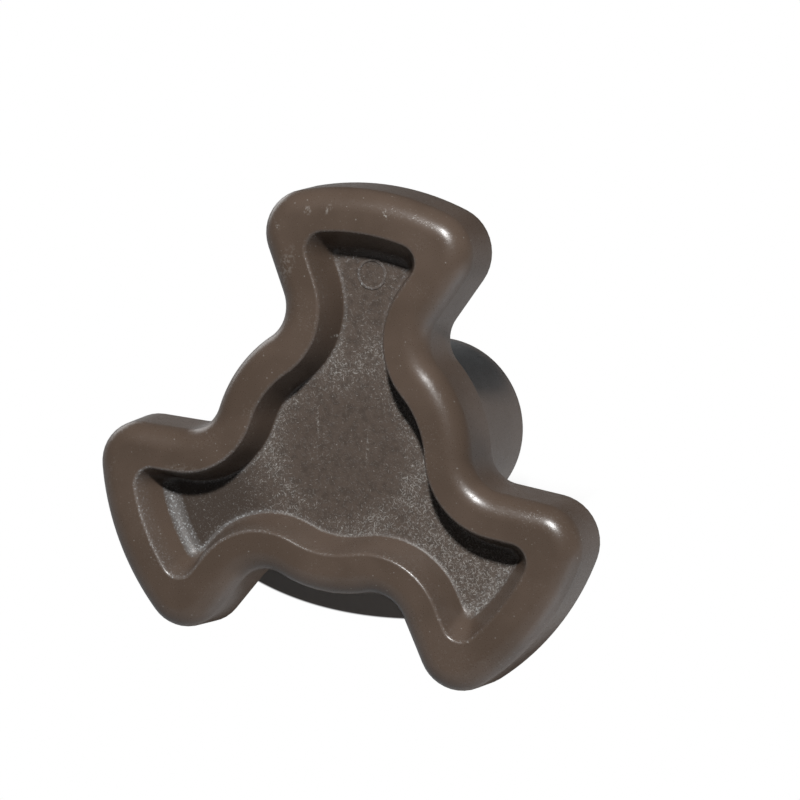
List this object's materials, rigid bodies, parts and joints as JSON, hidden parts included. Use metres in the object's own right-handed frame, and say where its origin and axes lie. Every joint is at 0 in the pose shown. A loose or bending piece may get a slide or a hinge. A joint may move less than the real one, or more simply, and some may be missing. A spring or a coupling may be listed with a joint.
{
  "type": "microwave turntable coupler",
  "caption": "Moulded plastic coupler: flared lobes, a raised rim round a recessed pocket for the tray's feet, and a stub hub with a D-shaped socket for a turntable motor's shaft",
  "frame": {"origin": "on the drive axis, at the middle of the hub's flat end face", "axes": "+Z along the drive axis from the hub's end to the pocketed face, as it stands in use; +Y along the first lobe"},
  "size_m": [0.0494, 0.0449, 0.028],
  "materials": {
    "dark_brown_plastic": "satin moulded, fine pale specks and scuffs"
  },
  "bodies": {
    "root": {"coupler": "dark_brown_plastic"}
  },
  "joints": []
}
